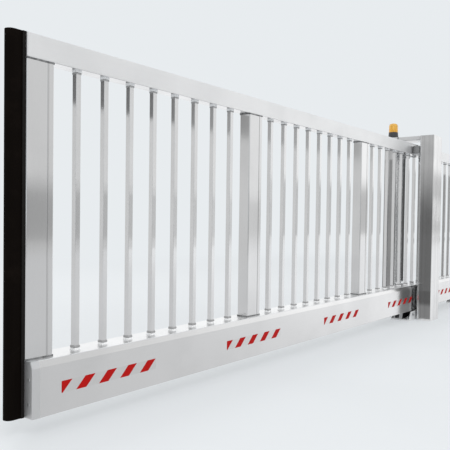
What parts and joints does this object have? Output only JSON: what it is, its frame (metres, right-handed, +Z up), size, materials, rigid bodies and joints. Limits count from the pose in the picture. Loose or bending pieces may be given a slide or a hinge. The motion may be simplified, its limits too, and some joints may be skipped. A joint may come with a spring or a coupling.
{
  "type": "cantilever sliding driveway gate",
  "caption": "Aluminium sliding driveway gate: barred leaf on a deep hollow beam rolling on ground carriages through a guide portal with beacon; rubber safety edge.",
  "frame": {"origin": "on the ground under the front roller carriage, midway between the two guide posts", "axes": "+X along the gate towards its tail, +Y away from the street side, +Z up"},
  "size_m": [5.9939, 0.45, 1.761],
  "materials": {
    "leaf_aluminium": "bright mill finish, drawn along its length",
    "portal_aluminium": "bright mill finish",
    "carriage_steel": "zinc plated",
    "roller_plastic": "dark cast nylon",
    "guide_plastic": "light grey cast nylon",
    "carrier_aluminium": "black anodised",
    "edge_rubber": "matt black rubber",
    "beacon_housing": "moulded, fine grain",
    "beacon_amber": "clear amber moulding"
  },
  "bodies": {
    "portal": {"front_guide_post": "portal_aluminium", "rear_guide_post": "portal_aluminium", "portal_head": "portal_aluminium", "front_post_cap": "portal_aluminium", "rear_post_cap": "portal_aluminium", "beacon_base": "beacon_housing", "beacon_lens": "beacon_amber", "front_guide_bracket": "carriage_steel", "rear_guide_bracket": "carriage_steel", "front_guide_rollers": "guide_plastic", "rear_guide_rollers": "guide_plastic", "front_carriage_base": "carriage_steel", "front_carriage_saddle": "carriage_steel", "front_carriage_axles": "carriage_steel", "front_carriage_rollers": "roller_plastic", "rear_carriage_base": "carriage_steel", "rear_carriage_saddle": "carriage_steel", "rear_carriage_axles": "carriage_steel", "rear_carriage_rollers": "roller_plastic"},
    "leaf": {"bottom_beam": "leaf_aluminium", "beam_front_cap": "leaf_aluminium", "beam_rear_cap": "leaf_aluminium", "top_rail": "leaf_aluminium", "rail_front_cap": "leaf_aluminium", "rail_rear_cap": "leaf_aluminium", "leaf_post_1": "leaf_aluminium", "leaf_post_2": "leaf_aluminium", "leaf_post_3": "leaf_aluminium", "leaf_post_4": "leaf_aluminium", "leaf_post_5": "leaf_aluminium", "bars_bay_1": "leaf_aluminium", "bars_bay_2": "leaf_aluminium", "bars_bay_3": "leaf_aluminium", "bars_bay_4": "leaf_aluminium", "safety_edge_carrier": "carrier_aluminium", "safety_edge": "edge_rubber"}
  },
  "joints": [
    {"name": "gate_slide", "type": "slide", "parent": "portal", "child": "leaf", "axis": [1, 0, 0], "range_m": [0, 3.75]}
  ]
}
